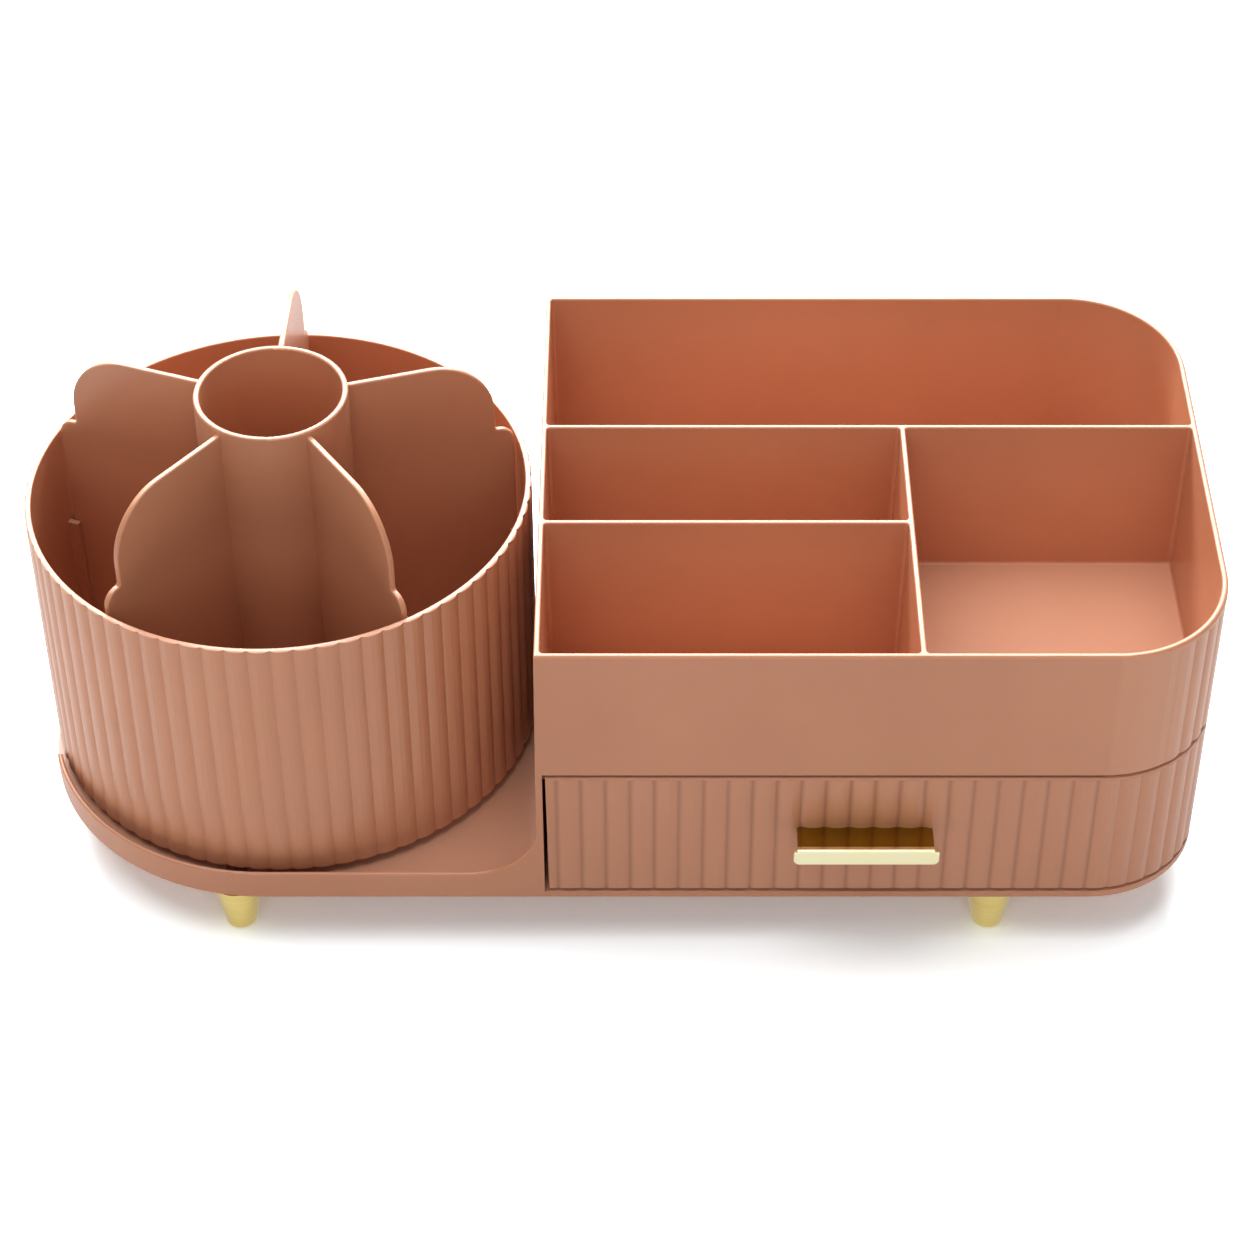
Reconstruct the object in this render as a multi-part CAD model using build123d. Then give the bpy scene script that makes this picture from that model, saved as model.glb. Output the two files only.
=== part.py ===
from build123d import *
from math import asin, atan2, ceil, cos, degrees, floor, pi, radians, sin, sqrt
import os

# Desk-top make-up organizer: a housing with a sorting tray over a drawer, and a turning brush cup
# that stands in a shallow round stage beside them. Millimetres, +Z up, the drawer's front looks
# along -Y. The origin is the middle of the overall box on the surface that the pads stand on.

os.makedirs("parts", exist_ok=True)

# Housing
block_length = 171.4
corner_radius = 30.0
wall = 1.8
base_floor = 2.5
base_edge_round = 0.8
left_lean = 0.6

# Stage of the cup
stage_tuck = 0.5
stage_front_gap = 3.6
stage_corner_radius = 61.0
stage_joint_radius = 6.0
lip_wall = 1.3
lip_cup_gap = 0.4
lip_ramp = 5.0
lip_height = 8.7
lip_round = 0.6
sweep_radius = 18.0
sweep_blend = 0.4

# Sorting tray
rim_height_front = 100.0
rim_height_rear = 105.5
tray_floor = 2.0
tray_floor_height = 57.5
tray_wall = 1.5
divider = 1.1
rear_divider_place = 85.3
middle_divider_place = 48.5
long_divider_place = 94.5
tray_draft = 1.0
tray_corner_round = 1.0
tray_foot_round = 0.8
rim_round = 0.5
rim_band = 1.4

# Reeded walls
front_flute_pitch = 6.13
side_flute_pitch = 5.72
last_front_valley = 1.2
flute_depth = 0.6
crest_trim = 0.03
ledge_cover = 1.0
flute_fade_start = 10.0
flute_fade_length = 17.0

# Drawer
fascia = 3.0
fascia_gap = 0.6
fascia_top_gap = 1.0
fascia_side_gap = 0.8
fascia_height = 40.0
fascia_edge = 0.9
fascia_edge_step = 0.1
fascia_round = 0.6
fascia_lean = 0.4
panel_edge_height = 60.3
ledge = 2.0
box_wall = 1.6
box_floor = 1.8
box_height = 35.2
box_side_gap = 0.8
box_floor_gap = 0.3
box_rear_gap = 4.0
box_corner_round = 6.0
drawer_travel = 100.0
stop_tab_length = 10.0
stop_tab_height = 1.0
stop_rib_height = 1.1
stop_rib_width = 2.0
stop_place = 45.0
stop_gap = 0.3

# Pull
pull_place = 82.85
pull_reach = 9.2
pull_bar_length = 36.6
pull_bar_height = 5.2
pull_bar_thickness = 1.9
pull_bar_round = 1.6
pull_bar_edge = 0.6
pull_web_length = 34.3
pull_web_thickness = 2.4
pull_web_drop = 1.2
pull_top_height = 42.9
pull_screw_spacing = 22.0
pull_screw_radius = 0.8
pull_screw_head_radius = 1.7
pull_screw_head_height = 1.2
pull_screw_grip = 4.5
screw_clearance = 0.05

# Feet
foot_height = 15.5
foot_top_radius = 6.9
foot_tip_radius = 4.0
foot_tip_round = 1.1
foot_front_inset = 7.6
left_foot_place = 11.4
right_foot_inset = 54.3
pad_radius = 2.4
pad_thickness = 1.2
pad_stand = 0.5
foot_screw_radius = 1.5
foot_screw_head_radius = 2.8
foot_screw_length = 11.5
foot_screw_sink = 0.2
drive_radius = 0.9
drive_depth = 0.7

# Brush cup
cup_radius = 65.1
cup_wall = 1.7
cup_depth = 69.7
cup_floor = 2.0
cup_edge_lift = 2.8
cup_side_gap = 1.7
cup_flute_count = 72
cup_flute_turn = -92.0
cup_rim_round = 0.4
cup_crown_round = 0.7
cup_crown_reach = 0.3
cup_edge_round = 0.4
guide_reach = 3.0
guide_thickness = 1.5
guide_height = 40.5
guide_gap = 0.3

# Turntable
ball_radius = 2.0
ball_count = 16
ball_clearance = 0.1
race_radius = 39.0
race_width = 10.0
race_thickness = 1.7
groove_depth = 0.4
race_rib_width = 1.9
race_rib_height = 1.0
race_rib_gap = 0.1
cage_width = 7.0
cage_thickness = 1.2
cage_clearance = 0.15
post_radius = 7.0
post_gap = 0.08
post_rise = 0.1
washer_radius = 10.0
washer_thickness = 1.0
pivot_screw_radius = 1.75
pivot_screw_head_radius = 3.4
pivot_screw_head_height = 2.0
pivot_screw_length = 9.0

# Brush insert
tube_radius = 19.5
tube_wall = 1.5
insert_height = 98.9
insert_floor_gap = 0.3
petal_count = 5
petal_turn = 88.5
petal_thickness = 1.6
petal_side_gap = 0.9
petal_notch_depth = 5.0
petal_hip_height = 74.1
petal_hip_round = 4.0
petal_notch_round = 0.8
petal_shoulder = 16.5
petal_top_drop = 1.8
edge_round = 0.5

# Places that follow from the sizes
body_depth = 2 * (cup_radius + stage_front_gap + lip_wall)
stage_reach = cup_radius - stage_tuck
cup_to_block = cup_radius + cup_side_gap
total_length = cup_radius + cup_to_block + block_length
cup_x = cup_radius - total_length / 2
stage_left = cup_x - stage_reach
block_left = cup_x + cup_to_block
block_right = block_left + block_length
front = (pull_reach - body_depth) / 2
rear = front + body_depth
cup_y = (front + rear) / 2
corner_x = block_right - corner_radius
corner_arc = corner_radius * pi / 2
side_run = body_depth - 2 * corner_radius
base_bottom = foot_height + pad_stand
floor_top = base_bottom + base_floor
lip_top = base_bottom + lip_height
fascia_bottom = panel_edge_height - fascia_top_gap - fascia_height
cup_axis = Location((cup_x, cup_y, 0))


def smooth_step(value):
    """Ease from 0 to 1 as value goes from 0 to 1."""
    t = min(1.0, max(0.0, value))
    return t * t * (3 - 2 * t)


def block_face(inset, left):
    """Plan of the drawer block, drawn in by inset at the front, right and rear, from x = left."""
    right = block_right - inset
    low = front + inset
    high = rear - inset
    turn = corner_radius - inset
    slant = turn * sin(pi / 4)
    return make_face([
        Line((left, low), (right - turn, low)),
        ThreePointArc((right - turn, low), (right - turn + slant, low + turn - slant), (right, low + turn)),
        Line((right, low + turn), (right, high - turn)),
        ThreePointArc((right, high - turn), (right - turn + slant, high - turn + slant), (right - turn, high)),
        Line((right - turn, high), (left, high)),
        Line((left, high), (left, low)),
    ])


def prism(face, low, high):
    """The plan face raised from height low to height high."""
    return extrude(Pos(0, 0, low) * face, high - low)


def slab(x_span, y_span, z_span):
    """Box between two corners, given as low and high along each axis."""
    size = [high - low for low, high in (x_span, y_span, z_span)]
    middle = [(high + low) / 2 for low, high in (x_span, y_span, z_span)]
    return Pos(*middle) * Box(*size)


def rim_height(y):
    """Height of the tray's sloping rim at depth y."""
    return rim_height_front + (rim_height_rear - rim_height_front) * (y - front) / body_depth


def under_rim(drop, thickness):
    """Slab under the sloping rim plane: its top lies drop below the rim, over the whole part."""
    low = front - 20
    high = rear + 20
    side = make_face(Polyline(
        (low, rim_height(low) - drop), (high, rim_height(high) - drop),
        (high, rim_height(high) - drop - thickness), (low, rim_height(low) - drop - thickness),
        close=True))
    turned = Plane(origin=(stage_left - 10, 0, 0), x_dir=(0, 1, 0), z_dir=(1, 0, 0)) * side
    return extrude(turned, total_length + 20)


def wall_point(run, depth):
    """Point of the block's outline at a run from the start of the front corner, sunk by depth."""
    if run < 0:
        return (corner_x + run, front + depth)
    if run < corner_arc:
        turn = run / corner_radius - pi / 2
        reach = corner_radius - depth
        return (corner_x + reach * cos(turn), front + corner_radius + reach * sin(turn))
    if run < corner_arc + side_run:
        return (block_right - depth, front + corner_radius + run - corner_arc)
    turn = (run - corner_arc - side_run) / corner_radius
    reach = corner_radius - depth
    return (corner_x + reach * cos(turn), rear - corner_radius + reach * sin(turn))


def reeds(valleys, depth_at):
    """Convex arcs from valley to valley, whose crests stand crest_trim outside the block's outline."""
    arcs = []
    for start, end in zip(valleys, valleys[1:]):
        low = wall_point(start, depth_at(start))
        high = wall_point(end, depth_at(end))
        arcs.append(ThreePointArc(low, wall_point((start + end) / 2, -crest_trim), high))
    return arcs


def side_valley(index):
    """Run of one valley between the reeds of the corner and the side, counted from the front."""
    return index * side_flute_pitch - last_front_valley


def tray_depth(run):
    """Depth of the housing's valleys: they fade out towards the smooth front and rear."""
    last = 2 * corner_arc + side_run
    fade_in = smooth_step((run - flute_fade_start) / flute_fade_length)
    fade_out = smooth_step((last - flute_fade_start - run) / flute_fade_length)
    return (flute_depth + crest_trim) * fade_in * fade_out - crest_trim


def reeded_block():
    """Plan of the whole drawer block with reeds round its two right corners and right side.

    The crests are trimmed to the plain outline, so the reeds lie flush with the rim and the base.
    """
    last = 2 * corner_arc + side_run
    first_index = ceil((last_front_valley + 0.1) / side_flute_pitch)
    last_index = floor((last + last_front_valley) / side_flute_pitch - 0.1)
    valleys = [side_valley(index) for index in range(first_index, last_index + 1)]
    arcs = reeds(valleys, tray_depth)
    near = front - crest_trim
    far = rear + crest_trim
    plan = make_face([
        Line((block_left, near), (corner_x, near)),
        ThreePointArc((corner_x, near), wall_point(valleys[0] / 2, -crest_trim), arcs[0] @ 0),
        *arcs,
        ThreePointArc(arcs[-1] @ 1, wall_point((valleys[-1] + last) / 2, -crest_trim), (corner_x, far)),
        Line((corner_x, far), (block_left, far)),
        Line((block_left, far), (block_left, near)),
    ])
    return plan & block_face(0, block_left)


# Tray compartments: plan rectangles, from the left divider or wall to the right, front to rear.
left_inside = block_left + wall
long_divider = block_left + long_divider_place
middle_divider = front + middle_divider_place
rear_divider = front + rear_divider_place


def compartment(x_low, x_high, y_low, y_high):
    """Tapered hollow of one compartment, clipped by the rounded inside of the outer wall."""
    room = block_face(tray_wall, left_inside) & (Pos((x_low + x_high) / 2, (y_low + y_high) / 2)
                                                 * Rectangle(x_high - x_low, y_high - y_low))
    sharp = [v for v in room.vertices() if min(abs(v.X - x_low), abs(v.X - x_high)) < 0.01
             and min(abs(v.Y - y_low), abs(v.Y - y_high)) < 0.01]
    top = rim_height_rear + 5
    hollow = extrude(Pos(0, 0, top) * room, top - tray_floor_height, dir=(0, 0, -1), taper=tray_draft)
    upright = []
    for edge in hollow.edges().filter_by(lambda e: e.bounding_box().size.Z > 1):
        high = edge.vertices().sort_by(Axis.Z)[-1]
        if any(abs(high.X - v.X) + abs(high.Y - v.Y) < 0.01 for v in sharp):
            upright.append(edge)
    hollow = fillet(upright, tray_corner_round)
    floor_face = hollow.faces().sort_by(Axis.Z)[0]
    return fillet(floor_face.edges(), tray_foot_round)


def tray_hollows():
    """The four compartments: rear row, two behind each other on the left, one on the right."""
    half = divider / 2
    right_inside = block_right - tray_wall
    return [
        compartment(left_inside, right_inside, rear_divider + half, rear - tray_wall),
        compartment(left_inside, long_divider - half, middle_divider + half, rear_divider - half),
        compartment(left_inside, long_divider - half, front + tray_wall, middle_divider - half),
        compartment(long_divider + half, right_inside, front + tray_wall, rear_divider - half),
    ]


def stage_face(inset, turn):
    """Plan of the stage, drawn in by inset, with its front left corner rounded by turn.

    Its rear end is round about the cup's axis and meets the block's left wall in a hollow curve.
    """
    reach = stage_reach - inset
    left = cup_x - reach
    near = front + inset
    slant = turn * sin(pi / 4)
    hollow = stage_joint_radius + inset
    joint_x = block_left - stage_joint_radius
    joint_y = cup_y + sqrt((stage_reach + stage_joint_radius) ** 2 - (joint_x - cup_x) ** 2)
    touch = atan2(joint_y - cup_y, joint_x - cup_x)
    half_way = (pi + touch) / 2
    join = (cup_x + reach * cos(touch), cup_y + reach * sin(touch))
    last = asin(stage_joint_radius / hollow)
    bend = (touch - pi + last - pi / 2) / 2
    return make_face([
        Line((block_left, near), (left + turn, near)),
        ThreePointArc((left + turn, near), (left + turn - slant, near + turn - slant), (left, near + turn)),
        Line((left, near + turn), (left, cup_y)),
        ThreePointArc((left, cup_y), (cup_x + reach * cos(half_way), cup_y + reach * sin(half_way)), join),
        ThreePointArc(join, (joint_x + hollow * cos(bend), joint_y + hollow * sin(bend)),
                      (block_left, joint_y - hollow * cos(last))),
        Line((block_left, joint_y - hollow * cos(last)), (block_left, near)),
    ])


def lip_end_y():
    """Where the lip ends at the left: the inside of it comes within lip_cup_gap of the cup there."""
    across = stage_corner_radius - stage_reach
    along = front + stage_corner_radius - cup_y
    apart = sqrt(across ** 2 + along ** 2)
    reach = cup_radius + lip_cup_gap + lip_wall
    foot = (apart ** 2 + reach ** 2 - stage_corner_radius ** 2) / (2 * apart)
    side = sqrt(max(0, reach ** 2 - foot ** 2))
    return cup_y + (foot * along - side * across) / apart


def lip_end_cut():
    """All that lies behind the ramp at the lip's left end, and over it."""
    end = lip_end_y()
    slope = lip_ramp / (lip_top - floor_top)
    low = base_bottom
    high = lip_top + 1
    ramp = make_face(Polyline(
        (end + slope * (floor_top - low), low), (end - slope * (high - floor_top), high),
        (end - slope * (high - floor_top), high + sweep_radius), (rear + 5, high + sweep_radius),
        (rear + 5, low), close=True))
    sheet = Plane(origin=(stage_left - 5, 0, 0), x_dir=(0, 1, 0), z_dir=(1, 0, 0)) * ramp
    return extrude(sheet, block_left - stage_left + 10)


def stage_wall():
    """Lip of the stage: it sweeps up into the drawer block at the right and ramps down at the left."""
    inner = stage_face(lip_wall, stage_corner_radius - lip_wall)
    plan = stage_face(0, stage_corner_radius) - inner
    sweep_x = block_left - sweep_radius + sweep_blend
    top = lip_top + sweep_radius
    ring = prism(plan, base_bottom + base_edge_round, top)
    cut = make_face([
        Line((stage_left - 5, lip_top), (sweep_x, lip_top)),
        ThreePointArc((sweep_x, lip_top),
                      (sweep_x + sweep_radius * sin(pi / 4), top - sweep_radius * cos(pi / 4)),
                      (sweep_x + sweep_radius, top)),
        Line((sweep_x + sweep_radius, top), (sweep_x + sweep_radius, top + 5)),
        Line((sweep_x + sweep_radius, top + 5), (stage_left - 5, top + 5)),
        Line((stage_left - 5, top + 5), (stage_left - 5, lip_top)),
    ])
    sheet = Plane(origin=(0, rear + 5, 0), x_dir=(1, 0, 0), z_dir=(0, -1, 0)) * cut
    ring -= extrude(sheet, body_depth + 10)
    ring -= lip_end_cut()
    crest = [edge for edge in ring.edges() if edge.center().Z > lip_top - 0.01
             and edge.bounding_box().size.X > 0.1 and edge.length > lip_wall + 0.5]
    return fillet(crest, lip_round)


def footprint():
    """Plan of the base: the stage and the drawer block."""
    return block_face(0, block_left) + stage_face(0, stage_corner_radius)


def fascia_recess():
    """Space for the drawer's wrapped front, in the front face and round the right corner."""
    back = front + corner_radius + fascia_gap
    ring = block_face(-5, left_inside) - block_face(fascia + fascia_gap, left_inside - 5)
    return prism(ring, floor_top, panel_edge_height) & slab(
        (left_inside, block_right + 5), (front - 5, back), (floor_top, panel_edge_height))


def tray_ledge():
    """Stepped lower edge of the tray's front wall, behind and over the drawer's front."""
    inner = fascia + fascia_gap
    cover = min(ledge_cover, wall / 2)
    ledge_end = front + corner_radius + fascia_gap + ledge
    low = tray_floor_height - tray_floor
    high = panel_edge_height + ledge
    reach = slab((left_inside - cover, block_right), (front, ledge_end), (low, high))
    core = block_face(inner + ledge, left_inside - 5)
    upright = prism(block_face(inner, left_inside - cover) - core, low, high) & reach
    shelf = prism(block_face(cover, left_inside - cover) - core, panel_edge_height, high) & reach
    end_slab = slab((left_inside, block_right), (ledge_end - ledge, ledge_end), (low, high))
    end_wall = prism(block_face(cover, left_inside) - core, low, high) & end_slab
    return upright + shelf + end_wall


def foot_places():
    """Foot centres: front left, front right, rear left, rear right."""
    left = cup_x - left_foot_place
    right = block_right - right_foot_inset
    near = front + foot_front_inset
    far = rear - foot_front_inset
    stage_far = cup_y + stage_reach - foot_front_inset
    return {"front_left": (left, near), "front_right": (right, near),
            "rear_left": (left, stage_far), "rear_right": (right, far)}


def foot_screw(gap):
    """Countersunk foot screw with its head at z = 0, or its hole when gap is over 0."""
    shank = foot_screw_radius + gap
    head = foot_screw_head_radius + gap
    cone = head - shank
    return revolve(Plane.XZ * make_face(Polyline(
        (0, 0), (head, 0), (shank, -cone), (shank, -foot_screw_length - gap),
        (0, -foot_screw_length - gap), close=True)))


def stop_tab_y():
    """Front face of the drawer's stop tabs, with the drawer shut."""
    return rear - wall - box_rear_gap - box_wall


def housing():
    """One moulding: stage, drawer bay and the sorting tray over it."""
    tall = rim_height_rear + 10
    wall_bottom = base_bottom + base_edge_round
    block = prism(reeded_block(), wall_bottom, tall)
    band = prism(block_face(0, block_left), rim_height_front - 20, tall) & under_rim(0, rim_band + flute_depth)
    lower_face = band.faces().sort_by(Axis.Z)[0]
    band = chamfer(lower_face.edges(), flute_depth)
    body = (block & under_rim(rim_band / 2, tall)) + band
    lean_bottom = lip_top + sweep_radius
    lean = make_face(Polyline((block_left - 1, lean_bottom), (block_left, lean_bottom),
                              (block_left + left_lean, rim_height_rear), (block_left + left_lean, tall + 5),
                              (block_left - 1, tall + 5), close=True))
    sheet = Plane(origin=(0, rear + 5, 0), x_dir=(1, 0, 0), z_dir=(0, -1, 0)) * lean
    body -= extrude(sheet, body_depth + 10)
    for hollow in tray_hollows():
        body -= hollow
    rim_face = [face for face in body.faces()
                if abs(face.center().Z - rim_height(face.center().Y)) < 0.01
                and abs(face.normal_at().Z) > 0.9]
    body = fillet([edge for face in rim_face for edge in face.edges()], rim_round)
    body += tray_ledge()
    bay_top = tray_floor_height - tray_floor
    bay = block_face(fascia - fascia_gap, left_inside) + Pos(corner_x, front) * Rectangle(
        2 * (corner_radius - fascia + fascia_gap), 2 * corner_radius)
    body -= prism(bay, floor_top, bay_top) & slab(
        (left_inside, block_right), (front - 1, rear - wall), (floor_top, bay_top))
    body -= fascia_recess()
    base = fillet(prism(footprint(), base_bottom, floor_top).faces().sort_by(Axis.Z)[0].edges(),
                  base_edge_round)
    body += base + stage_wall()
    post_top = cup_floor_bottom() + cup_floor + post_rise
    post = Pos(cup_x, cup_y, floor_top) * Cylinder(
        post_radius, post_top - floor_top, align=(Align.CENTER, Align.CENTER, Align.MIN))
    rib_outer = race_radius - race_width / 2 - race_rib_gap
    rib = prism(Circle(rib_outer) - Circle(rib_outer - race_rib_width), floor_top,
                floor_top + race_rib_height)
    body += post + cup_axis * rib
    body -= Pos(cup_x, cup_y, post_top) * Cylinder(
        pivot_screw_radius + screw_clearance, pivot_screw_length,
        align=(Align.CENTER, Align.CENTER, Align.MAX))
    for x, y in foot_places().values():
        body -= Pos(x, y, floor_top - foot_screw_sink) * foot_screw(screw_clearance)
        body -= Pos(x, y, floor_top - foot_screw_sink) * Cylinder(
            foot_screw_head_radius + screw_clearance, base_floor,
            align=(Align.CENTER, Align.CENTER, Align.MIN))
    rib_back = stop_tab_y() - drawer_travel - stop_gap
    for side in (-1, 1):
        middle = (left_inside + block_right) / 2 + side * stop_place
        body += slab((middle - stop_tab_length / 2, middle + stop_tab_length / 2),
                     (rib_back - stop_rib_width, rib_back), (bay_top - stop_rib_height, bay_top))
    return body


def foot():
    """Tapered foot with a rounded tip, standing on z = 0 with its pad's recess underneath."""
    low = pad_stand
    recess = pad_thickness - pad_stand
    outline = Plane.XZ * make_face(Polyline(
        (0, low), (foot_tip_radius, low), (foot_top_radius, base_bottom), (0, base_bottom), close=True))
    body = revolve(outline)
    rim = [edge for edge in body.edges() if edge.center().Z < low + 0.01]
    body = fillet(rim, foot_tip_round)
    body -= Pos(0, 0, low) * Cylinder(pad_radius, recess, align=(Align.CENTER, Align.CENTER, Align.MIN))
    body -= Pos(0, 0, floor_top - foot_screw_sink) * foot_screw(screw_clearance)
    return body


def foot_pad():
    """Soft disc under one foot."""
    return Cylinder(pad_radius, pad_thickness, align=(Align.CENTER, Align.CENTER, Align.MIN))


def driven(screw):
    """The screw with a hexagon socket sunk in its top."""
    top = screw.bounding_box().max.Z
    return screw - prism(RegularPolygon(drive_radius, 6), top - drive_depth, top + 1)


def foot_screws():
    """The four countersunk screws that hold the feet."""
    screw = driven(foot_screw(0))
    return Compound([Pos(x, y, floor_top - foot_screw_sink) * screw for x, y in foot_places().values()])


def foot_pads():
    """The four pads."""
    return Compound([Pos(x, y, 0) * foot_pad() for x, y in foot_places().values()])


def ball_height():
    """Height of the ball centres over the supporting surface."""
    return floor_top + race_thickness - groove_depth + ball_clearance + ball_radius


def cup_floor_bottom():
    """Underside of the cup's floor, which lies on the upper race."""
    return 2 * ball_height() - floor_top


def race(low):
    """Grooved ring of the turntable whose lower face is at height low."""
    inner = race_radius - race_width / 2
    outer = race_radius + race_width / 2
    ring = prism(Circle(outer) - Circle(inner), low, low + race_thickness)
    groove = Pos(0, 0, ball_height()) * Torus(race_radius, ball_radius + ball_clearance)
    return cup_axis * (ring - groove)


def ball_places():
    """Evenly spaced places on the ball circle."""
    return PolarLocations(race_radius, ball_count)


def ball_cage():
    """Flat ring that keeps the balls apart."""
    ring = prism(Circle(race_radius + cage_width / 2) - Circle(race_radius - cage_width / 2),
                 ball_height() - cage_thickness / 2, ball_height() + cage_thickness / 2)
    hole = Pos(0, 0, ball_height()) * Cylinder(ball_radius + cage_clearance, 2 * cage_thickness)
    for place in ball_places():
        ring -= place * hole
    return cup_axis * ring


def bearing_balls():
    """The balls of the turntable."""
    ball = Pos(0, 0, ball_height()) * Sphere(ball_radius)
    return Compound([cup_axis * place * ball for place in ball_places()])


def cup():
    """Reeded cup with a flat floor, a bore for the centre post and pairs of guide ribs."""
    inner = cup_radius - cup_wall
    low = floor_top + cup_edge_lift
    under = cup_floor_bottom()
    top = under + cup_floor + cup_depth
    step = 360 / cup_flute_count
    arcs = []
    for index in range(cup_flute_count):
        angles = [radians(cup_flute_turn + step * (index + part)) for part in (0, 0.5, 1)]
        reach = [cup_radius - flute_depth, cup_radius + crest_trim, cup_radius - flute_depth]
        arcs.append(ThreePointArc(*[(r * cos(a), r * sin(a)) for r, a in zip(reach, angles)]))
    reeded = prism(make_face(arcs) & Circle(cup_radius), low - 1, top + 1)
    skirt = prism(Circle(cup_radius + cup_crown_reach), low, top)
    skirt = fillet(skirt.edges().sort_by(Axis.Z)[-1], cup_crown_round + cup_crown_reach)
    skirt = fillet(skirt.edges().sort_by(Axis.Z)[0], cup_edge_round + cup_crown_reach)
    bowl = prism(Circle(inner), under + cup_floor, top + 1)
    skirt -= bowl
    lip_edges = [edge for edge in skirt.edges() if edge.center().Z > top - 0.01
                 and abs(edge.radius - inner) < 0.01]
    skirt = fillet(lip_edges, cup_rim_round)
    body = reeded & skirt
    body -= prism(Circle(inner), low - 1, under)
    rib_outer = race_radius - race_width / 2 - race_rib_gap
    body += prism(Circle(rib_outer) - Circle(rib_outer - race_rib_width), under - race_rib_height, under)
    body -= prism(Circle(post_radius + post_gap), under - 5, under + cup_floor + 1)
    offset = petal_thickness / 2 + guide_gap + guide_thickness / 2
    length = guide_reach + cup_wall / 2
    for index in range(petal_count):
        for side in (-1, 1):
            guide = Pos(inner - guide_reach + length / 2, side * offset, under + cup_floor) * Box(
                length, guide_thickness, guide_height, align=(Align.CENTER, Align.CENTER, Align.MIN))
            body += Rot(0, 0, petal_turn + 360 / petal_count * index) * guide
    return cup_axis * body


def pivot_washer():
    """Washer that keeps the cup down on the turntable."""
    low = cup_floor_bottom() + cup_floor + post_rise
    ring = Circle(washer_radius) - Circle(pivot_screw_radius + screw_clearance)
    return cup_axis * prism(ring, low, low + washer_thickness)


def pivot_screw():
    """Pan-head screw through the washer into the centre post."""
    seat = cup_floor_bottom() + cup_floor + post_rise + washer_thickness
    reach = pivot_screw_length + washer_thickness - 0.5
    head = Pos(0, 0, seat) * Cylinder(pivot_screw_head_radius, pivot_screw_head_height,
                                      align=(Align.CENTER, Align.CENTER, Align.MIN))
    head = fillet(head.edges().sort_by(Axis.Z)[-1], pivot_screw_head_height / 3)
    shank = Pos(0, 0, seat) * Cylinder(pivot_screw_radius, reach,
                                       align=(Align.CENTER, Align.CENTER, Align.MAX))
    return cup_axis * driven(head + shank)


def petal(low):
    """One divider plate of the insert in the XZ plane, from the tube out to the cup's wall."""
    reach = cup_radius - cup_wall - petal_side_gap
    waist = reach - petal_notch_depth
    top = low + insert_height - petal_top_drop
    hip = low + petal_hip_height
    shoulder = min(petal_shoulder, top - hip - petal_notch_round - edge_round)
    outline = Polyline((tube_radius - tube_wall / 2, low), (reach, low), (reach, hip), (waist, hip),
                       (waist, top), (tube_radius - tube_wall / 2, top), close=True)
    face = make_face(outline)
    face = fillet(face.vertices().filter_by(lambda v: v.Y > hip - 0.01 and v.X > reach - 0.01), petal_hip_round)
    face = fillet(face.vertices().filter_by(lambda v: abs(v.Y - hip) < 0.01 and abs(v.X - waist) < 0.01),
                  petal_notch_round)
    face = fillet(face.vertices().filter_by(lambda v: v.Y > top - 0.01 and v.X > tube_radius), shoulder)
    plate = extrude(Plane.XZ * face, petal_thickness / 2, both=True)
    rim = [edge for edge in plate.edges()
           if edge.bounding_box().size.Y < 0.01 and edge.center().X > tube_radius
           and edge.center().Z > low + 1]
    return fillet(rim, edge_round)


def cup_insert():
    """Lift-out divider of the cup: an open tube with divider plates round it, in one moulding."""
    low = cup_floor_bottom() + cup_floor + insert_floor_gap
    top = low + insert_height
    tube = prism(Circle(tube_radius), low, top)
    plates = [Rot(0, 0, petal_turn + 360 / petal_count * index) * petal(low) for index in range(petal_count)]
    for plate in plates:
        tube += plate
    tube -= prism(Circle(tube_radius - tube_wall), low - 1, top + 1)
    rim = [edge for edge in tube.edges() if edge.center().Z > top - 0.01]
    return cup_axis * fillet(rim, edge_round)


def drawer_box():
    """Plain open box of the drawer, with two stop tabs on its rear wall."""
    low = floor_top + box_floor_gap
    high = low + box_height
    left = left_inside + box_side_gap
    right = block_right - fascia + fascia_gap - box_side_gap
    near = front + fascia
    far = rear - wall - box_rear_gap
    turn = corner_radius - fascia
    outer = Pos((left + right) / 2, (near + far) / 2) * Rectangle(right - left, far - near)
    outer = fillet(outer.vertices().group_by(Axis.Y)[-1].sort_by(Axis.X)[0], box_corner_round)
    outer = fillet(outer.vertices().filter_by(lambda v: v.X > right - 0.01), turn)
    inner = offset(outer, -box_wall)
    hollow = prism(inner, low + box_floor, high + 5)
    hollow = fillet(hollow.faces().sort_by(Axis.Z)[0].edges(), box_floor / 2)
    body = prism(outer, low, high) - hollow
    for side in (-1, 1):
        middle = (left_inside + block_right) / 2 + side * stop_place
        body += slab((middle - stop_tab_length / 2, middle + stop_tab_length / 2), (far - box_wall, far),
                     (high - 1, high + stop_tab_height))
    for x in pull_screw_places():
        body -= Pos(x, near + box_wall / 2, pull_web_middle()) * Rot(90, 0, 0) * Cylinder(
            pull_screw_radius + screw_clearance, 3 * box_wall)
    return body


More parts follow.
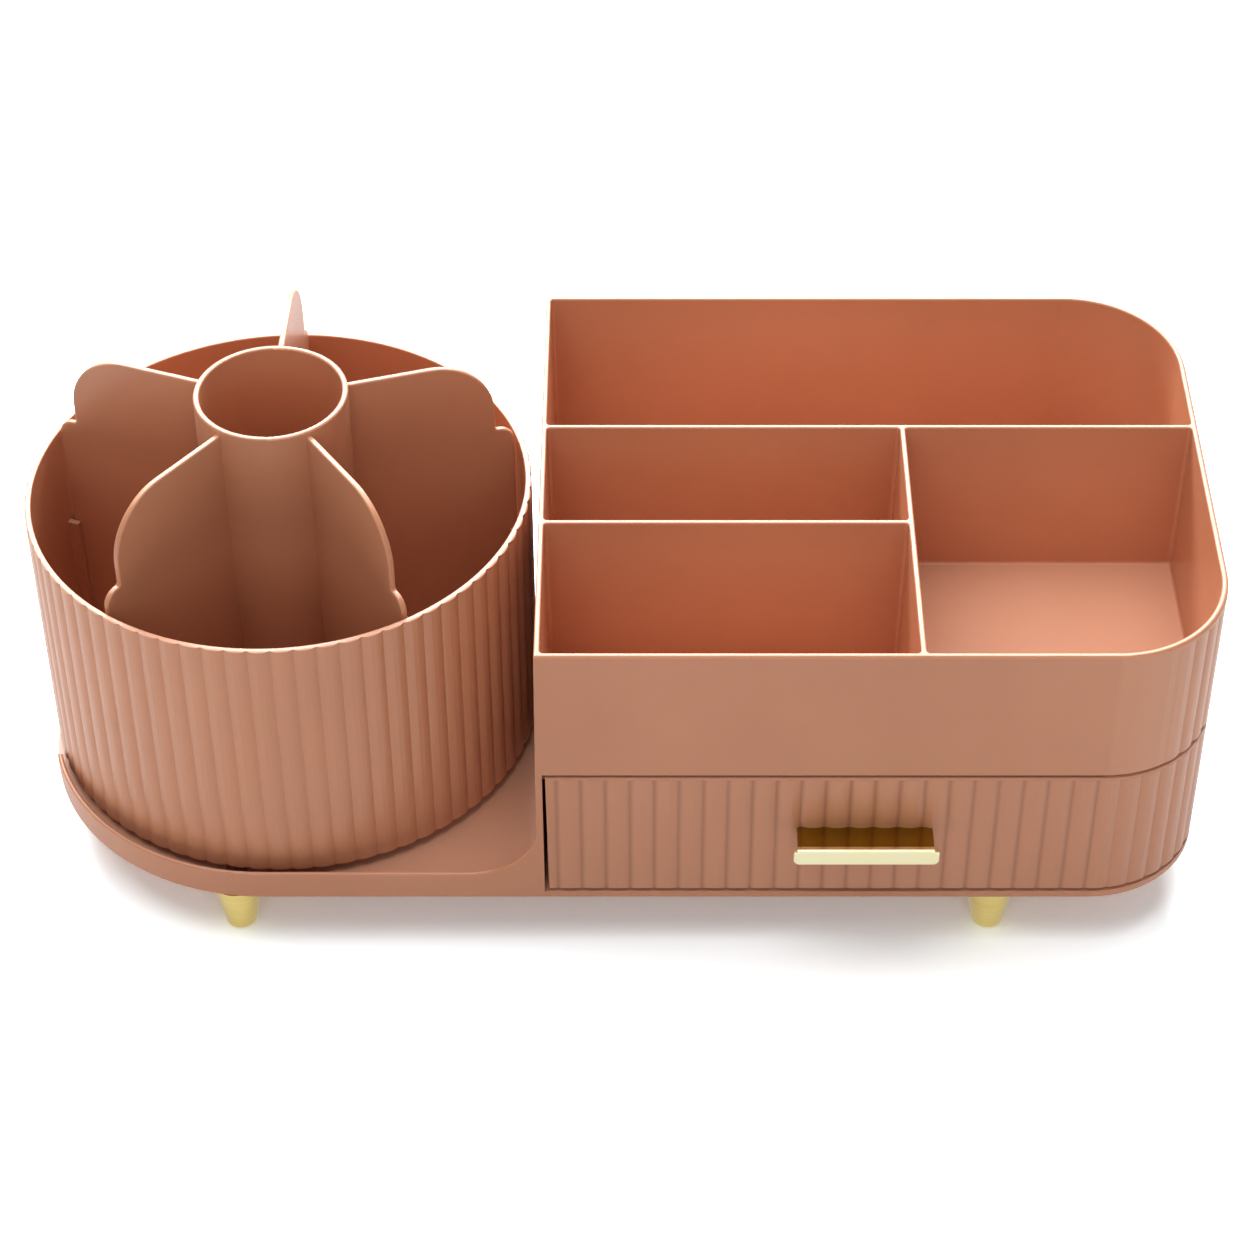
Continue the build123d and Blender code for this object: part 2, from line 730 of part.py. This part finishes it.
def drawer_front():
    """Reeded front that wraps round the right corner, with a plain strip along its top edge."""
    top = fascia_bottom + fascia_height
    reed_top = top - fascia_edge
    left = left_inside + fascia_side_gap
    front_count = ceil((corner_x - left_inside) / front_flute_pitch) + 1
    front_valleys = [-last_front_valley - front_flute_pitch * index for index in range(front_count, 0, -1)]
    side_count = ceil((corner_arc + last_front_valley) / side_flute_pitch) + 1
    valleys = front_valleys + [side_valley(index) for index in range(side_count)]
    arcs = reeds(valleys, lambda run: flute_depth)
    start = arcs[0] @ 0
    end = arcs[-1] @ 1
    plan = make_face([
        *arcs,
        Line((end.X, end.Y), (end.X - corner_radius, end.Y)),
        Line((end.X - corner_radius, end.Y), (start.X, end.Y)),
        Line((start.X, end.Y), (start.X, start.Y)),
    ])
    smooth = prism(block_face(0, left_inside - 10), fascia_bottom, top)
    edges = smooth.edges().group_by(Axis.Z)
    smooth = fillet(edges[0] + edges[-1], fascia_round)
    reach = slab((left, block_right + 1), (front - 1, front + corner_radius), (fascia_bottom, top))
    reeded = prism(plan, fascia_bottom, reed_top)
    strip = prism(block_face(fascia_edge_step, left_inside - 10), reed_top, top)
    body = (reeded + strip) & smooth & reach
    body -= prism(block_face(fascia, left_inside - 20), fascia_bottom - 1, top + 1)
    lean = make_face(Polyline((left - 1, fascia_bottom), (left + fascia_lean, fascia_bottom), (left, top),
                              (left - 1, top), close=True))
    sheet = Plane(origin=(0, front + fascia + 1, 0), x_dir=(1, 0, 0), z_dir=(0, -1, 0)) * lean
    body -= extrude(sheet, fascia + 2)
    for x in pull_screw_places():
        body -= Pos(x, front + fascia / 2, pull_web_middle()) * Rot(90, 0, 0) * Cylinder(
            pull_screw_radius + screw_clearance, 2 * fascia)
    return body


def pull_middle():
    """Middle of the pull along X."""
    return block_left + pull_place


def pull_web_middle():
    """Height of the middle of the pull's web."""
    return pull_top_height - pull_web_drop - pull_web_thickness / 2


def pull_screw_places():
    """X of the pull's two screws."""
    return [pull_middle() + side * pull_screw_spacing / 2 for side in (-1, 1)]


def drawer_pull():
    """T-shaped pull: a flat web that stands out of the drawer and an upright bar along its edge."""
    bar_front = front - pull_reach
    bar_middle = pull_top_height - pull_bar_height / 2
    bar = RectangleRounded(pull_bar_length, pull_bar_height, pull_bar_round)
    sheet = Plane(origin=(pull_middle(), bar_front, bar_middle), x_dir=(1, 0, 0), z_dir=(0, -1, 0)) * bar
    body = extrude(sheet, -pull_bar_thickness)
    body = fillet(body.faces().sort_by(Axis.Y)[0].edges() + body.faces().sort_by(Axis.Y)[-1].edges(),
                  pull_bar_edge)
    web = slab((pull_middle() - pull_web_length / 2, pull_middle() + pull_web_length / 2),
               (bar_front + pull_bar_thickness / 2, front + flute_depth / 2),
               (pull_web_middle() - pull_web_thickness / 2, pull_web_middle() + pull_web_thickness / 2))
    body += fillet(web.edges().filter_by(Axis.Y), edge_round)
    body -= drawer_front()
    for x in pull_screw_places():
        hole_end = front + fascia + box_wall - pull_screw_length() - screw_clearance
        body -= Pos(x, front + 1, pull_web_middle()) * Rot(90, 0, 0) * Cylinder(
            pull_screw_radius + screw_clearance, front + 1 - hole_end,
            align=(Align.CENTER, Align.CENTER, Align.MIN))
    return body


def pull_screw_length():
    """Shank length of a pull screw, through the box and the front into the web."""
    return box_wall + fascia + pull_screw_grip


def pull_screws():
    """The two screws that hold the pull, with their heads inside the drawer."""
    head = Cylinder(pull_screw_head_radius, pull_screw_head_height,
                    align=(Align.CENTER, Align.CENTER, Align.MIN))
    shank = Cylinder(pull_screw_radius, pull_screw_length(), align=(Align.CENTER, Align.CENTER, Align.MAX))
    screw = driven(head + shank)
    return Compound([Pos(x, front + fascia + box_wall, pull_web_middle()) * Rot(-90, 0, 0) * screw
                     for x in pull_screw_places()])


def write(node, shape):
    """Write one node's STEP file."""
    export_step(shape, f"parts/{node}.step")


write("housing", housing())
for name, (x, y) in foot_places().items():
    write(f"foot_{name}", Pos(x, y, 0) * foot())
write("foot_screws", foot_screws())
write("foot_pads", foot_pads())
write("turntable_lower_race", race(floor_top))
write("ball_cage", ball_cage())
write("bearing_balls", bearing_balls())
write("turntable_upper_race", race(cup_floor_bottom() - race_thickness))
write("cup", cup())
write("pivot_washer", pivot_washer())
write("pivot_screw", pivot_screw())
write("cup_insert", cup_insert())
write("drawer_box", drawer_box())
write("drawer_front", drawer_front())
write("drawer_pull", drawer_pull())
write("pull_screws", pull_screws())
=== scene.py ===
import math
import bpy
from mathutils import Euler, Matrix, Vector

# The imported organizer, and the camera that it was photographed with: a short telephoto that looks
# down on the front from head height, with the picture shifted so that the object is in its middle.
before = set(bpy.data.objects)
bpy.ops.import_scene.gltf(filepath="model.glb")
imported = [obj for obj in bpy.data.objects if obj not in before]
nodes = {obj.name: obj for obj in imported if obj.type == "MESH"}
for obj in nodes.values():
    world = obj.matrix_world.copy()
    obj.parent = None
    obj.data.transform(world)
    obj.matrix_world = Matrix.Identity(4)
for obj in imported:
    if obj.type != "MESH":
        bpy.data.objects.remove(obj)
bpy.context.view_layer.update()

picture_pixels = 1254
focal_pixels = 3081.6
lens_axis_pixel = (640, 520)
look_down = math.radians(40.04)
lens = bpy.data.cameras.new("front_camera")
lens.sensor_width = 36.0
lens.lens = focal_pixels * lens.sensor_width / picture_pixels
lens.shift_x = (picture_pixels / 2 - lens_axis_pixel[0]) / picture_pixels
lens.shift_y = (lens_axis_pixel[1] - picture_pixels / 2) / picture_pixels
lens.clip_start = 0.01
camera = bpy.data.objects.new("front_camera", lens)
camera.location = (0.00645, -0.6099, 0.6006)
camera.rotation_euler = Euler((math.pi / 2 - look_down, 0, 0))
bpy.context.scene.collection.objects.link(camera)
bpy.context.scene.camera = camera
bpy.context.scene.view_settings.view_transform = "Standard"


# Housing. The stage for the cup, the drawer bay and the sorting tray are one injection moulding in
# a terracotta-tinted styrene with a satin skin. The long divider's root has drawn a faint sink line
# down the front panel, and the crests of the reeded corner are handled most.
class Wire:
    """A shader socket that takes part in ordinary sums."""

    def __init__(self, finish, socket):
        self.finish = finish
        self.socket = socket

    def maths(self, operation, *values):
        return self.finish.add("ShaderNodeMath", {"operation": operation}, dict(enumerate(values)))

    def __add__(self, other):
        return self.maths("ADD", self, other)

    def __radd__(self, other):
        return self.maths("ADD", other, self)

    def __sub__(self, other):
        return self.maths("SUBTRACT", self, other)

    def __rsub__(self, other):
        return self.maths("SUBTRACT", other, self)

    def __mul__(self, other):
        return self.maths("MULTIPLY", self, other)

    def __rmul__(self, other):
        return self.maths("MULTIPLY", other, self)

    def __truediv__(self, other):
        return self.maths("DIVIDE", self, other)

    def __rtruediv__(self, other):
        return self.maths("DIVIDE", other, self)

    def __pow__(self, other):
        return self.maths("POWER", self, other)

    def __rpow__(self, other):
        return self.maths("POWER", other, self)

    def between(self, low, high):
        """0 at low, 1 at high, and a smooth rise from one to the other."""
        return self.finish.add("ShaderNodeMapRange", {"interpolation_type": "SMOOTHSTEP"},
                               {"Value": self, "From Min": low, "From Max": high})

    def swing(self, span):
        """A noise that varies about 0.5, as a variation about 0 that is span wide."""
        return (self - 0.5) * span


class Finish:
    """The nodes of one material, or of the light in the air."""

    def __init__(self, owner):
        owner.use_nodes = True
        self.owner = owner
        self.tree = owner.node_tree
        self.tree.nodes.clear()

    def add(self, kind, settings=None, sockets=None, out=0):
        """Add a node, set it up, then give its sockets their values or links."""
        node = self.tree.nodes.new(kind)
        for key, value in (settings or {}).items():
            setattr(node, key, value)
        for key, value in (sockets or {}).items():
            if isinstance(value, Wire):
                self.tree.links.new(value.socket, node.inputs[key])
            else:
                node.inputs[key].default_value = value
        return Wire(self, node.outputs[out]) if node.outputs else None

    def place(self):
        """The point on the piece, in metres of the organizer's own frame."""
        return self.add("ShaderNodeTexCoord", out="Object")

    def axes(self, place):
        """The three measures of a point or a direction, one wire each."""
        return [self.add("ShaderNodeSeparateXYZ", None, {"Vector": place}, out) for out in "XYZ"]

    def noise(self, place, scale, detail, stretch=None):
        """Soft random variation about 0.5, with scale features per metre."""
        if stretch:
            place = self.add("ShaderNodeMapping", None, {"Vector": place, "Scale": stretch})
        return self.add("ShaderNodeTexNoise", None, {
            "Vector": place, "Scale": scale, "Detail": detail, "Roughness": 0.55})

    def blend(self, factor, first, second):
        """A colour on the way from first to second."""
        return self.add("ShaderNodeMix", {"data_type": "RGBA"},
                        {"Factor": factor, 6: first, 7: second}, out=2)

    def bump(self, height, depth):
        """Relief, with height in units of depth metres."""
        return self.add("ShaderNodeBump", None, {
            "Strength": 1.0, "Distance": depth, "Height": height})

    def show(self, shader, output="ShaderNodeOutputMaterial"):
        """Lead the shader to the output, and give back the material or the world."""
        self.add(output, None, {"Surface": shader})
        return self.owner


def linear(red, green, blue):
    """Linear colour of a shade given as it is seen on a screen, 0 to 255."""
    parts = [value / 255 for value in (red, green, blue)]
    return (*(v / 12.92 if v <= 0.04045 else ((v + 0.055) / 1.055) ** 2.4 for v in parts), 1.0)


tenth_millimetre = 0.0001
deep_terracotta = linear(188, 126, 93)
pale_terracotta = linear(196, 134, 101)
# A pale tint painted on faces that point up, as the sheen of the light from above.
painted_top_sheen = linear(250, 200, 172)
# A dark tint painted into hollows as the shade that falls in them.
painted_recess_shade = linear(126, 74, 52)
rubbed_plastic = linear(215, 155, 121)
upward_sheen_cover, shade_cover_in_valleys, rub_cover = 0.35, 0.32, 0.2


def terracotta_plastic(name, handled=None, relief=None, darkened_hollows=None, satin=0.36, polish=0.06):
    """Tinted styrene: cloudy pigment, long flow streaks from the gate, the mould's fine satin skin,
    and a pale painted sheen on whatever faces up, standing for the light from above.

    handled(finish, axes) is 0 to 1 where hands have polished it, the third mask is 0 to 1 where
    shade is painted darker into hollows, and relief(finish, axes) is what the mould or its cooling
    has left on a face, in tenths of a millimetre."""
    finish = Finish(bpy.data.materials.new(name))
    place = finish.place()
    axes = finish.axes(place)
    cloud = finish.noise(place, 15.0, 3.0)
    streak = finish.noise(place, 22.0, 2.0, (1.0, 1.0, 0.22))
    skin = finish.noise(place, 950.0, 2.0)
    speck = finish.noise(place, 2600.0, 1.0)
    flow = (cloud * 0.6 + streak * 0.4).between(0.3, 0.7)
    tint = finish.blend(flow, deep_terracotta, pale_terracotta)
    # Painted sheen: faces that point up are tinted paler, as if lit from above.
    facing_up = finish.axes(finish.add("ShaderNodeTexCoord", out="Normal"))[2]
    tint = finish.blend(facing_up.between(0.8, 1.0) * upward_sheen_cover, tint, painted_top_sheen)
    rough = satin + cloud.swing(0.10) + skin.swing(0.05)
    height = skin * 0.015 + speck * 0.006
    # Painted shade: hollows are tinted darker, as the shade in them.
    if darkened_hollows:
        tint = finish.blend(darkened_hollows(finish, axes) * shade_cover_in_valleys, tint, painted_recess_shade)
    if handled:
        worn = handled(finish, axes)
        tint = finish.blend(worn * rub_cover, tint, rubbed_plastic)
        rough = rough - worn * 0.04
    if relief:
        height = height + relief(finish, axes)
    return finish.show(finish.add("ShaderNodeBsdfPrincipled", None, {
        "Base Color": tint, "Roughness": rough, "Normal": finish.bump(height, tenth_millimetre),
        "IOR": 1.46, "Coat Weight": polish, "Coat Roughness": 0.06, "Coat IOR": 1.5}))


def dress(name, finish):
    """Give a piece of the frame its finish."""
    nodes[name].data.materials.clear()
    nodes[name].data.materials.append(finish)


front_y = -0.0654
divider_root_x = 0.0757
sink_half_width = 0.0016
corner_axis = (0.12165, -0.0354)
corner_rubbed_radii = (0.0294, 0.0300)


def reach_from(axis, axes):
    """The level distance of a point from an upright axis."""
    across, along = axes[0] - axis[0], axes[1] - axis[1]
    return (across * across + along * along) ** 0.5


def corner_crests(finish, axes):
    """The outermost half millimetre of the reeds round the front corner of the block."""
    right_of_axis = (axes[0] - corner_axis[0]).between(0.0, 0.002)
    front_of_axis = (axes[1] - corner_axis[1]).between(0.002, -0.001)
    outermost = reach_from(corner_axis, axes).between(*corner_rubbed_radii)
    return outermost * right_of_axis * front_of_axis


def panel_relief(finish, axes):
    """The sink line behind the long divider, and the faint upright waves of the cooled panel."""
    offset = (axes[0] - divider_root_x) / sink_half_width
    sink = 1.0 / (1.0 + offset * offset)
    front_face = axes[1].between(front_y + 0.0008, front_y + 0.0002)
    wave = finish.noise(finish.place(), 1.0, 1.0, (130.0, 1.0, 6.0))
    return (wave * 1.1 - sink * 0.5) * front_face


dress("housing", terracotta_plastic("terracotta_housing", corner_crests, panel_relief))


# Feet. Four slim cones turned from aluminium and anodised a pale lemon gold. The tool has left fine
# rings round each one, and a screw from inside holds it under the floor.
hundredth_millimetre = 0.00001
# A deeper gold painted on the pull's web as the shade behind the bar.
painted_web_shade = linear(160, 134, 44)


def gold_anodising(name, light, deep, grain, rough, shaded_part=None):
    """Anodised aluminium: clear lemon gold over the bright lines of the cut, which grain gives.

    The last argument, a mask, is 1 where shade is painted in as a deeper, duller gold."""
    finish = Finish(bpy.data.materials.new(name))
    place = finish.place()
    line = grain(finish, place)
    cloud = finish.noise(place, 60.0, 2.0)
    tint = finish.blend((line * 0.6 + cloud * 0.4).between(0.3, 0.7), deep, light)
    # Painted shade: the masked part takes a deeper, duller gold.
    if shaded_part:
        tint = finish.blend(shaded_part(finish, place), tint, painted_web_shade)
    return finish.show(finish.add("ShaderNodeBsdfPrincipled", None, {
        "Base Color": tint, "Metallic": 1.0,
        "Roughness": rough + line.swing(0.10) + cloud.swing(0.05),
        "Normal": finish.bump(line * 0.6, hundredth_millimetre),
        "Coat Weight": 0.2, "Coat Roughness": 0.05}))


def turned_rings(finish, place):
    """Fine rings one above the other, as a lathe leaves them."""
    return finish.noise(place, 1.0, 2.0, (20.0, 20.0, 5200.0))


foot_gold = gold_anodising("gold_turned_feet", linear(255, 236, 152), linear(244, 214, 122),
                           turned_rings, 0.08)
for corner in ("front_left", "front_right", "rear_left", "rear_right"):
    dress(f"foot_{corner}", foot_gold)


# Foot screws. Pan-head steel screws, lacquered a brown that goes with the plastic, because one of
# them can be seen beside the cup. They are driven down into the feet from inside the housing, where
# they sit in shallow counterbores.
def paler(shade, step):
    """A shade on the screen's scale, lighter by a step in each colour."""
    return [min(255, value + step) for value in shade]


def plated_steel(name, shade, rough=0.28, metal=1.0):
    """Plated steel: a spangle and fine drawing lines. A lacquer over it takes metal below 1."""
    finish = Finish(bpy.data.materials.new(name))
    place = finish.place()
    spangle = finish.noise(place, 900.0, 3.0)
    drawn = finish.noise(place, 1.0, 2.0, (2600.0, 2600.0, 300.0))
    tint = finish.blend(spangle.between(0.35, 0.65), linear(*shade), linear(*paler(shade, 18)))
    return finish.show(finish.add("ShaderNodeBsdfPrincipled", None, {
        "Base Color": tint, "Metallic": metal, "Roughness": rough + spangle.swing(0.18),
        "Normal": finish.bump(drawn * 0.5 + spangle * 0.5, hundredth_millimetre)}))


dress("foot_screws", plated_steel("lacquered_steel", (158, 112, 86), 0.5, 0.2))


# Foot pads. Small discs of clear-grey rubber pressed into the tip of each foot, so that the metal
# doesn't mark the desk. Their skin is dull and dusty.
def dull_rubber(name):
    """Grey rubber with a fine grain and a film of dust."""
    finish = Finish(bpy.data.materials.new(name))
    place = finish.place()
    grain = finish.noise(place, 1800.0, 3.0)
    dust = finish.noise(place, 300.0, 2.0)
    tint = finish.blend(dust.between(0.35, 0.7), linear(196, 195, 191), linear(216, 214, 208))
    return finish.show(finish.add("ShaderNodeBsdfPrincipled", None, {
        "Base Color": tint, "Roughness": 0.72 + grain.swing(0.15),
        "Normal": finish.bump(grain, 3 * hundredth_millimetre)}))


dress("foot_pads", dull_rubber("grey_rubber"))


# Turntable. A thin ball bearing under the cup: two acetal races, one pressed on the stage and one
# under the cup, and between them a cage with sixteen steel balls. The races are a milky white.
def acetal(name, shade):
    """Milky slide plastic, cloudy within and finely grained on its skin."""
    finish = Finish(bpy.data.materials.new(name))
    place = finish.place()
    cloud = finish.noise(place, 90.0, 2.0)
    skin = finish.noise(place, 1500.0, 2.0)
    tint = finish.blend(cloud.between(0.3, 0.7), linear(*shade), linear(*paler(shade, 8)))
    return finish.show(finish.add("ShaderNodeBsdfPrincipled", None, {
        "Base Color": tint, "Roughness": 0.5 + cloud.swing(0.12),
        "Normal": finish.bump(skin * 0.2, tenth_millimetre)}))


race_white = acetal("milky_acetal", (229, 227, 219))
dress("turntable_lower_race", race_white)
dress("turntable_upper_race", race_white)
dress("ball_cage", acetal("cage_acetal", (206, 205, 200)))
dress("bearing_balls", plated_steel("bearing_steel", (204, 206, 209), 0.12))


# Cup. A round pot moulded in the same plastic, with seventy-two upright reeds and a plain rim. It
# turns on the bearing, and fingers have rubbed the crests of its reeds a little paler.
cup_axis = (-0.08655, 0.0046)
cup_rubbed_radii = (0.0639, 0.0655)


def cup_crests(finish, axes):
    """The outermost part of the cup's reeds."""
    return reach_from(cup_axis, axes).between(*cup_rubbed_radii)


dress("cup", terracotta_plastic("terracotta_cup", cup_crests))


# Pivot. A plain steel washer and a pan-head screw, both with a bright zinc plate, hold the cup down
# on the stage's centre post, and leave it free to turn.
zinc = plated_steel("bright_zinc", (204, 206, 208))
dress("pivot_washer", zinc)
dress("pivot_screw", zinc)


# Cup insert. A tube with five waisted petals that lifts out of the cup, in the same plastic. It is
# a little duller than the cup, and rubbed at the top.
gripped_heights = (0.1105, 0.1265)


def petal_tops(finish, axes):
    """The upper centimetre and a half, which is gripped when the insert is lifted."""
    return axes[2].between(*gripped_heights)


dress("cup_insert", terracotta_plastic("terracotta_insert", petal_tops, satin=0.40))


# Drawer box. A plain tray with rounded corners behind the drawer front, in the same plastic. Its
# floor is scuffed by what slides about in it.
scuffed_heights = (0.030, 0.020)


def floor_scuffs(finish, axes):
    """Long fine rubs across the inside floor."""
    rub = finish.noise(finish.place(), 1.0, 3.0, (35.0, 420.0, 420.0))
    return rub.between(0.52, 0.74) * axes[2].between(*scuffed_heights)


dress("drawer_box", terracotta_plastic("terracotta_drawer", floor_scuffs, satin=0.42))


# Drawer front. The reeded fascia wraps the block's front right corner and is glued to the box. Its
# reeds are a little glossier than the rest, rubbed beside the pull, and painted darker between as
# shade.
pull_middle_x = 0.0631
rubbed_reach, unrubbed_reach = 0.02, 0.05


def fascia_crests(finish, axes):
    """The crests of the straight front's reeds beside the pull, where fingers rub them."""
    aside = axes[0] - pull_middle_x
    near_pull = (aside * aside).between(unrubbed_reach ** 2, rubbed_reach ** 2)
    return axes[1].between(front_y + 0.0008, front_y - 0.0004) * near_pull * 0.7


def fascia_valleys(finish, axes):
    """The bottoms of the valleys between those reeds."""
    # Painted shade: the valley bottoms are tinted darker, as the shade in them.
    straight = axes[0].between(corner_axis[0] + 0.001, corner_axis[0] - 0.001)
    outside = axes[1].between(front_y + 0.0011, front_y + 0.0008)
    return axes[1].between(front_y + 0.00025, front_y + 0.00055) * outside * straight


dress("drawer_front", terracotta_plastic("terracotta_fascia", fascia_crests, darkened_hollows=fascia_valleys,
                                         satin=0.32, polish=0.15))


# Pull. A bar with rounded ends on a flat web, pressed from aluminium, brushed along its length and
# anodised like the feet. Two small screws from behind hold it to the fascia.
bar_back_y = -0.0727


def brushed_lines(finish, place):
    """Fine lines along the bar."""
    return finish.noise(place, 1.0, 2.0, (60.0, 5200.0, 5200.0))


def web_in_bar_shadow(finish, place):
    """The web behind the bar, where shade is painted in as a deeper gold."""
    # Painted shade: the web behind the bar is tinted deeper, as the bar's shadow and dark
    # reflection.
    return finish.axes(place)[1].between(bar_back_y - 0.0002, bar_back_y + 0.0002)


dress("drawer_pull", gold_anodising("gold_brushed_pull", linear(255, 252, 212),
                                    linear(255, 246, 194), brushed_lines, 0.1, web_in_bar_shadow))


# Pull screws. Two small pan-head screws with the same bright zinc plate as the pivot's, driven from
# inside the drawer through the box and the fascia into the pull's web.
dress("pull_screws", zinc)


# Studio. A pale paper floor that burns out to white away from the object and keeps the shadow
# beside it, and four soft boxes: a wide one overhead, one high at the back that draws the light
# lines on the rims, a weak one in front that opens the shadows, and a weaker one at the left.
floor_size = 8.0
pure_white = (1, 1, 1, 1)
paper_as_lamp = (0.76, 0.76, 0.76, 1)
paper_as_seen = (1.56, 1.66, 1.70, 1)
seen_near, mirrored_near, mirrored_far = 0.08, 0.34, 0.5
shadow_end, white_start = 0.24, 0.6
air_light = 0.27
lamp_aim = Vector((0, 0, 0.05))


def ray(finish, *kinds):
    """1 on rays of these kinds and 0 on all others."""
    return sum(finish.add("ShaderNodeLightPath", out=f"Is {kind} Ray") for kind in kinds)


def mix(finish, factor, first, second):
    """A shader on the way from first to second."""
    return finish.add("ShaderNodeMixShader", None, {0: factor, 1: first, 2: second})


def soft_box(name, place, width, height, power):
    """Rectangular soft lamp that faces the organizer."""
    lamp = bpy.data.lights.new(name, "AREA")
    lamp.shape = "RECTANGLE"
    lamp.size = width
    lamp.size_y = height
    lamp.energy = power
    box = bpy.data.objects.new(name, lamp)
    box.location = place
    box.rotation_euler = (lamp_aim - Vector(place)).to_track_quat("-Z", "Y").to_euler()
    bpy.context.scene.collection.objects.link(box)


bpy.ops.mesh.primitive_plane_add(size=floor_size, location=(0, 0, 0))
floor = bpy.context.object
floor.name = "studio_floor"
paper = Finish(bpy.data.materials.new("studio_paper"))
seen, mirrored = ray(paper, "Camera"), ray(paper, "Glossy", "Transmission")
lit_paper = mix(paper, seen, *(paper.add("ShaderNodeBsdfDiffuse", None, {"Color": shade})
                               for shade in (paper_as_lamp, paper_as_seen)))
white = paper.add("ShaderNodeEmission", None, {"Color": pure_white, "Strength": 1.0})
away = paper.add("ShaderNodeVectorMath", {"operation": "LENGTH"}, {0: paper.place()}, out="Value")
far = away.between(shadow_end, white_start)
burnt_out = (seen * (seen_near + (1 - seen_near) * far)
             + mirrored * (mirrored_near + (mirrored_far - mirrored_near) * far))
floor.data.materials.append(paper.show(mix(paper, burnt_out, lit_paper, white)))

air = Finish(bpy.data.worlds.new("studio_air"))
towards_back = air.axes(air.add("ShaderNodeTexCoord", out="Generated"))[1].between(-0.1, 0.5)
glare = ray(air, "Camera") + ray(air, "Glossy", "Transmission") * towards_back
dim, bright = (air.add("ShaderNodeBackground", None, {"Color": pure_white, "Strength": strength})
               for strength in (air_light, 1.0))
bpy.context.scene.world = air.show(mix(air, glare, dim, bright), "ShaderNodeOutputWorld")

soft_box("overhead_box", (-0.1, 0.1, 1.15), 1.3, 1.0, 13.0)
soft_box("back_box", (-0.1, 0.97, 0.85), 1.3, 0.45, 35.0)
soft_box("front_box", (0.0, -1.3, 0.7), 1.2, 0.8, 3.8)
soft_box("left_box", (-1.1, -0.3, 0.55), 0.6, 0.6, 0.2)
